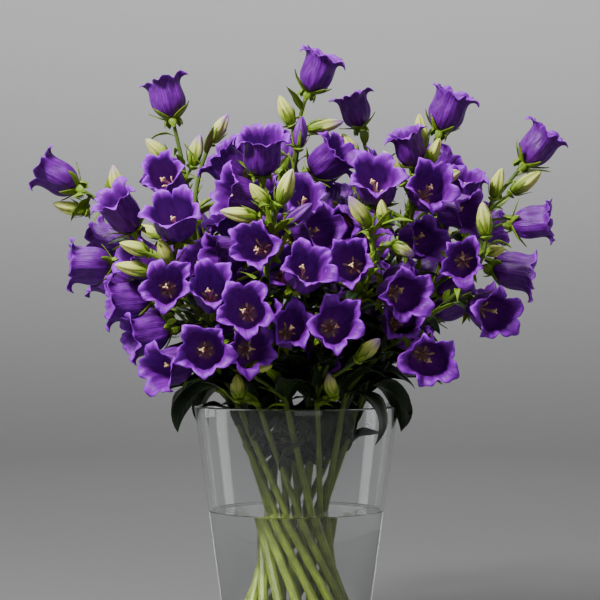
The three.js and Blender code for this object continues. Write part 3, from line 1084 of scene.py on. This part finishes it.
class Leaf:
    """A pointed leaf that leaves a stem at place along way, folded along its rib, wavy and drooping."""

    STEPS = 8  # for adding up the line of its rib

    def __init__(self, place, way, length, width, droop, luck):
        self.place = place
        self.way = way.normalized()
        side = self.way.cross(Vector((0, 0, 1)))
        self.side = side.normalized() if side.length > 0.05 else Vector((1, 0, 0))
        self.up = self.side.cross(self.way)
        self.length = length
        self.width = width
        self.droop = droop
        self.fold = luck.uniform(0.15, 0.45)
        self.wave = luck.uniform(0.06, 0.2)
        self.phase = luck.uniform(0, math.tau)
        self.twist = luck.uniform(-0.9, 0.9)
        self.sway = luck.uniform(-0.35, 0.35)

    def centre(self, share):
        spot = self.place.copy()
        for i in range(self.STEPS):
            part = (i + 0.5) / self.STEPS * share
            angle = -self.droop * part
            step = self.way * math.cos(angle) + self.up * math.sin(angle)
            step += self.side * (self.sway * part)
            spot += step * (self.length * share / self.STEPS)
        return spot

    def corner(self, across, share):
        half = self.width / 2 * (max(0, math.sin(math.pi * share**0.72)) ** 0.9 + 0.07 * (1 - share))
        angle = -self.droop * share
        normal = self.up * math.cos(angle) - self.way * math.sin(angle)
        roll = self.twist * share
        out = self.side * math.cos(roll) + normal * math.sin(roll)
        raised = normal * math.cos(roll) - self.side * math.sin(roll)
        ripple = self.wave * math.sin(share * 14 + self.phase + across) * across * across
        lift = half * (self.fold * abs(across) + ripple)
        return self.centre(share) + out * (across * half) + raised * lift

    def meets(self, balls):
        """Whether the leaf runs through a bell, each bell being two (middle, radius) balls."""
        spots = [self.centre(share) for share in (0.35, 0.55, 0.75, 1.0)]
        return any((spot - middle).length < radius for spot in spots for middle, radius in balls)


# The heights of a stem's leaves in the vase's mouth.
MOUTH_LEAVES = (0.200, 0.209, 0.218, 0.226, 0.234, 0.242, 0.250)
# The places of the bracts on a side stalk and on a stem, as shares of the way along them.
SIDE_BRACTS = (0.3, 0.5, 0.7, 0.9)
STEM_BRACTS = (0.55, 0.62, 0.69, 0.76, 0.82, 0.88, 0.93)
LEAF_TRIES = 8
OUTER_STEM = 0.045  # a stem this far to a side at the rim has one more large leaf, over the rim


def grow(bm, balls, luck, place, lengths, widths, droops, way, material=0, rows=12):
    """Adds a leaf at place along way(), if one of a few random leaves is clear of the bells.

    Its width is a share of its length, and the ends of each range are given.
    """
    for _ in range(LEAF_TRIES):
        length = luck.uniform(*lengths)
        leaf = Leaf(place, way(), length, length * luck.uniform(*widths), luck.uniform(*droops), luck)
        if not leaf.meets(balls):
            sheet(bm, 6, rows, leaf.corner, material)
            return


def make_leaves(stem, balls, settings, skins, luck):
    """A stem's large dark leaves, getting smaller up it, and the bright bracts under its flowers."""
    bm = new_shape()

    def add(*leaf, **more):
        grow(bm, balls, luck, *leaf, **more)

    def around(tilt=0.0):
        return facing(luck.uniform(-180, 180), tilt)

    for row in range(settings.rows):
        share = row / (settings.rows - 1)
        t = 0.02 + 0.63 * share**1.5
        length = settings.longest + (settings.shortest - settings.longest) * share
        turn = stem.number * 61 + row * 137.5
        add(stem.bent.at(t), (0.85 * length, 1.1 * length), (0.26, 0.38), (0.4, 1.7),
            lambda: facing(turn + luck.uniform(-40, 40), 58 - 28 * share + luck.uniform(-12, 12)),
            rows=14)
    if abs(stem.rim.x) > OUTER_STEM:
        add(stem.bent.at(0.07), (0.058, 0.082), (0.34, 0.44), (1.2, 2.6),
            lambda: facing(math.copysign(luck.uniform(50, 130), stem.rim.x), luck.uniform(12, 40)),
            rows=14)
    for height in MOUTH_LEAVES:
        foot = stem.at_height(height + luck.uniform(-0.008, 0.008))
        inwards = Vector((-foot.x, -foot.y, 0)).normalized()
        add(foot, (0.038, 0.058), (0.32, 0.45), (0.2, 1.5),
            lambda: inwards * luck.uniform(0.2, 1) + around() * 0.7 + Vector((0, 0, 1)))
    for t, line in stem.sides:
        add(stem.bent.at(t), (0.024, 0.042), (0.2, 0.3), (-0.2, 1.4),
            lambda: line.way(0.5) + stem.bent.way(t) * 0.6 + around() * 0.4, material=1, rows=10)
        for spot in SIDE_BRACTS:
            add(line.at(spot), (0.012, 0.022), (0.22, 0.3), (-0.6, 1.6),
                lambda: line.way(spot) + around(20) * 0.8, material=1, rows=8)
    for t in STEM_BRACTS:
        add(stem.bent.at(t), (0.024, 0.044), (0.16, 0.25), (-0.8, 1.8),
            lambda: stem.bent.way(t) * 0.7 + around(10), material=1, rows=10)
    return finished(f"leaves_{stem.number:02}", bm, skins)


# ---- Vase and water ----


def lathe(bm, profile, sides):
    """A closed round shape from (distance from the axis, height) points, spun about the axis."""
    corners = [bm.verts.new((radius, 0, height)) for radius, height in profile]
    chain = [bm.edges.new(pair) for pair in zip(corners, corners[1:])]
    bmesh.ops.spin(bm, geom=corners + chain, cent=(0, 0, 0), axis=(0, 0, 1), angle=math.tau,
                   steps=sides, use_merge=True)
    bmesh.ops.remove_doubles(bm, verts=bm.verts, dist=MERGE)
    bmesh.ops.recalc_face_normals(bm, faces=bm.faces)
    for face in bm.faces:
        face.smooth = True


def arc(middle, radius, first, last, steps):
    """Points on a circle's arc, in degrees from outwards towards upwards."""
    angles = [math.radians(first + (last - first) * i / steps) for i in range(steps + 1)]
    return [(middle[0] + radius * math.cos(a), middle[1] + radius * math.sin(a)) for a in angles]


def wall_line(settings):
    """The vase's outer radius at a height, from its foot and its rim."""
    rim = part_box("vase")[1]
    return lambda z: settings.foot + (rim.x - settings.foot) * z / rim.z


FOOT_EDGE = 0.003  # the radius of the rounded edge of the vase's foot
FLOOR_EDGE = 0.008  # the radius of the rounded corner inside, and where the straight wall starts
OVERLAP = 0.0002  # how far the water reaches into the glass


def make_vase(settings, glass):
    outer = wall_line(settings)
    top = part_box("vase")[1].z
    wall, floor, edge = settings.wall, settings.floor, settings.wall / 2
    heights = [FLOOR_EDGE + (top - edge - FLOOR_EDGE) * i / 14 for i in range(15)]
    profile = [(0, 0), (settings.foot - 0.006, 0)]
    profile += arc((outer(FOOT_EDGE) - FOOT_EDGE, FOOT_EDGE), FOOT_EDGE, -90, 0, 6)
    profile += [(outer(z), z) for z in heights]
    profile += arc((outer(top - edge) - edge, top - edge), edge, 15, 165, 8)
    profile += [(outer(z) - wall, z) for z in reversed(heights) if z > floor + FLOOR_EDGE]
    profile += arc((outer(floor) - wall - 0.009, floor + FLOOR_EDGE), FLOOR_EDGE, 0, -90, 6)
    profile += [(0, floor)]
    bm = bmesh.new()
    lathe(bm, profile, 128)
    return finished("glass_vase", bm, [glass], ["vase"])


def make_water(settings, water):
    outer = wall_line(settings)
    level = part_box("water")[1].z
    floor = settings.floor - OVERLAP
    inner = outer(level) - settings.wall + OVERLAP
    climb = settings.meniscus
    heights = [settings.floor + 0.009 + (level - settings.floor - 0.009) * i / 8 for i in range(9)]
    profile = [(0, floor), (outer(0) - settings.wall - 0.011, floor)]
    profile += [(outer(z) - settings.wall + OVERLAP, z) for z in heights]
    profile += [(inner + OVERLAP, level + climb), (inner - 0.0005, level + climb)]
    profile += [(inner - climb * i, level + climb * math.exp(-1.1 * i)) for i in (0.7, 1.3, 2, 3, 4.5)]
    profile += [(0, level)]
    bm = bmesh.new()
    lathe(bm, profile, 96)
    return finished("vase_water", bm, [water], ["water"])


# ---- The stage ----


def make_backdrop(settings, paint):
    """A round floor that curves up into a backdrop all round."""
    bend = settings.reach * 0.35

    def place(turn, share):
        flat = settings.reach - bend
        if share < 0.4:
            radius, height = flat * share / 0.4, 0
        elif share < 0.7:
            angle = (share - 0.4) / 0.3 * math.pi / 2
            radius, height = flat + bend * math.sin(angle), bend * (1 - math.cos(angle))
        else:
            radius, height = settings.reach, bend + settings.reach * (share - 0.7)
        return round_axis(turn, radius, height)

    bm = new_shape()
    wrapped(bm, 96, 50, place)
    bmesh.ops.reverse_faces(bm, faces=bm.faces)
    mesh_object("backdrop", bm, [paint])


def aim(piece, place, target):
    piece.location = place
    piece.rotation_euler = (target - place).to_track_quat("-Z", "Y").to_euler()


def add_lamp(name, place, target, across, power):
    """A soft square lamp."""
    data = bpy.data.lights.new(name, "AREA")
    data.size = across
    data.energy = power
    aim(linked(name, data), place, target)


def add_camera(settings):
    data = bpy.data.cameras.new("camera")
    data.lens = settings.lens
    camera = linked("camera", data)
    bpy.context.scene.camera = camera
    place = Vector((settings.shift, -settings.distance, settings.eye))
    aim(camera, place, Vector((settings.shift, 0, settings.aim)))


# ---- Operators ----


def piece_luck(*facts):
    """The random numbers of one piece, the same each run."""
    return random.Random("/".join(str(fact) for fact in facts))


def bell_skins(scene):
    return [petal_outside(scene.bunch_bells), petal_inside(scene.bunch_bells)]


def bright_skin(name, scene):
    """The skin of bracts and sepals."""
    return leaf_skin(name, scene.bunch_leaves.bright, 1.5, 0.4)


def all_stems(scene):
    return [Stem(number, scene.bunch_stems) for number in range(1, len(SPIKES) + 1)]


class BUNCH_OT_vase(bpy.types.Operator):
    """Makes the glass vase and the water in it"""

    bl_idname = "bunch.vase"
    bl_label = "Vase and Water"

    def execute(self, context):
        settings = context.scene.bunch_vase
        make_vase(settings, see_through("clear_glass", settings.glass, 1.48, 0.0))
        make_water(settings, see_through("clear_water", settings.water, 1.33, 0.0))
        return {"FINISHED"}


class BUNCH_OT_stalks(bpy.types.Operator):
    """Makes the stems with their side stalks"""

    bl_idname = "bunch.stalks"
    bl_label = "Stalks"

    def execute(self, context):
        settings = context.scene.bunch_stems
        skin = stalk_skin(settings)
        for stem in all_stems(context.scene):
            make_stalks(stem, settings, skin)
        make_middle_stalks(settings, skin, piece_luck("middle"))
        return {"FINISHED"}


class BUNCH_OT_bells(bpy.types.Operator):
    """Makes the open bells, each with its ovary, sepals, pistil and stamens"""

    bl_idname = "bunch.bells"
    bl_label = "Open Bells"

    def execute(self, context):
        scene = context.scene
        skins = bell_skins(scene)
        green = bright_skin("sepal_skin", scene)
        cream = pistil_cream(scene.bunch_bells)
        for stem in all_stems(scene):
            for i, pose in enumerate(stem.bells, start=1):
                luck = piece_luck("bell", stem.number, i)
                shape = BellShape(scene.bunch_bells, pose.length, luck)
                label = f"{stem.number:02}_{i}"
                make_bell(f"bell_{label}", f"flower_{label}", pose, shape, scene.bunch_bells, skins)
                make_heart(f"heart_{label}", pose, shape, [green, cream], luck)
        return {"FINISHED"}


class BUNCH_OT_fillers(bpy.types.Operator):
    """Makes the bells that fill the bunch between the others, on stalks of their own"""

    bl_idname = "bunch.fillers"
    bl_label = "Filling Bells"

    def execute(self, context):
        scene = context.scene
        skins = bell_skins(scene)
        green = bright_skin("filler_sepal_skin", scene)
        cream = pistil_cream(scene.bunch_bells)
        stems = all_stems(scene)
        for stem, poses in zip(stems, filling(stems, scene.bunch_bells)):
            if not poses:
                continue
            petals, hearts = new_shape(), new_shape()
            for i, pose in enumerate(poses):
                luck = piece_luck("filler", stem.number, i)
                shape = BellShape(scene.bunch_bells, pose.length, luck)
                add_to(petals, pose.matrix(), lambda bm: wrapped(bm, 60, 16, shape.point))
                add_to(hearts, pose.matrix(), lambda bm: add_heart(bm, shape, luck))
                t, line = stem.side_stalk(pose.foot - pose.way * BELL_SOCKET, pose.way)
                sweep(hearts, line.at, lambda along: 0.0019 - 0.0004 * along, 8, 12)
            finished(f"more_bells_{stem.number:02}", petals, skins,
                     thickness=scene.bunch_bells.wall, inner=1)
            finished(f"more_hearts_{stem.number:02}", hearts, [green, cream])
        return {"FINISHED"}


class BUNCH_OT_buds(bpy.types.Operator):
    """Makes the buds with their sepals"""

    bl_idname = "bunch.buds"
    bl_label = "Buds"

    def execute(self, context):
        scene = context.scene
        green = bright_skin("bud_sepal_skin", scene)
        skin = bud_skin(scene.bunch_buds, scene.bunch_bells)
        for stem in all_stems(scene):
            make_buds(stem, scene.bunch_buds, [green, skin], piece_luck("buds", stem.number))
        return {"FINISHED"}


class BUNCH_OT_leaves(bpy.types.Operator):
    """Makes the leaves and the bracts"""

    bl_idname = "bunch.leaves"
    bl_label = "Leaves"

    def execute(self, context):
        scene = context.scene
        # The large leaves' skin: partly their own deep green, partly painted shade.
        dark = leaf_skin("leaf_skin", scene.bunch_leaves.dark, 2.2, 0.32)
        bright = bright_skin("bract_skin", scene)
        stems = all_stems(scene)
        bells = [bell for stem in stems for bell in stem.bells]
        bells += [bell for poses in filling(stems, scene.bunch_bells) for bell in poses]
        balls = [ball for bell in bells for ball in crowd(bell)]
        for stem in stems:
            luck = piece_luck("leaves", stem.number)
            make_leaves(stem, balls, scene.bunch_leaves, [dark, bright], luck)
        return {"FINISHED"}


class BUNCH_OT_stage(bpy.types.Operator):
    """Makes the floor, the backdrop, the lamps and the camera"""

    bl_idname = "bunch.stage"
    bl_label = "Stage"

    def execute(self, context):
        settings = context.scene.bunch_stage
        make_backdrop(settings, floor_paint(settings))
        add_camera(settings)
        heart = Vector((0, 0, 0.42))
        add_lamp("key", Vector((-0.75, -0.95, 1.45)), heart, 0.3, settings.key)
        add_lamp("fill", Vector((0.5, -2.2, 0.6)), heart, 1.2, settings.fill)
        for name, x in (("left_strip", -1.3), ("right_strip", 1.3)):
            add_lamp(name, Vector((x, 0.5, 0.35)), Vector((0, 0, 0.25)), 0.5, settings.strip)
        for i in range(4):
            out = Vector((math.sin(i * math.pi / 2), math.cos(i * math.pi / 2), 0))
            up = Vector((0, 0, 1))
            power = settings.back * (1 if i == 0 else settings.around)
            add_lamp(f"backdrop_light_{i + 1}", out * 1.2 + up * 4.2, out * 4.4 + up * 1.6, 1.5, power)
        world = bpy.data.worlds.new("studio")
        world.use_nodes = True
        light = world.node_tree.nodes["Background"].inputs
        light["Color"].default_value = (0.5, 0.5, 0.5, 1)
        light["Strength"].default_value = settings.sky
        context.scene.world = world
        return {"FINISHED"}


class BUNCH_PT_panel(bpy.types.Panel):
    """Lists the operators that make the bunch"""

    bl_idname = "BUNCH_PT_panel"
    bl_label = "Bellflowers"
    bl_space_type = "VIEW_3D"
    bl_region_type = "UI"
    bl_category = "Bellflowers"

    def draw(self, context):
        for operator in OPERATORS:
            self.layout.operator(operator.bl_idname)


OPERATORS = (
    BUNCH_OT_stage,
    BUNCH_OT_vase,
    BUNCH_OT_stalks,
    BUNCH_OT_bells,
    BUNCH_OT_fillers,
    BUNCH_OT_buds,
    BUNCH_OT_leaves,
)
SETTINGS = {
    "bunch_vase": VaseSettings,
    "bunch_stems": StemSettings,
    "bunch_bells": BellSettings,
    "bunch_buds": BudSettings,
    "bunch_leaves": LeafSettings,
    "bunch_stage": StageSettings,
}


def register():
    for kind in (*SETTINGS.values(), *OPERATORS, BUNCH_PT_panel):
        bpy.utils.register_class(kind)
    for name, kind in SETTINGS.items():
        setattr(bpy.types.Scene, name, PointerProperty(type=kind))


def unregister():
    for name in SETTINGS:
        delattr(bpy.types.Scene, name)
    for kind in (BUNCH_PT_panel, *reversed(OPERATORS), *SETTINGS.values()):
        bpy.utils.unregister_class(kind)


def main():
    register()
    bpy.ops.bunch.stage()
    bpy.ops.bunch.vase()
    bpy.ops.bunch.stalks()
    bpy.ops.bunch.bells()
    bpy.ops.bunch.fillers()
    bpy.ops.bunch.buds()
    bpy.ops.bunch.leaves()


if __name__ == "__main__":
    main()
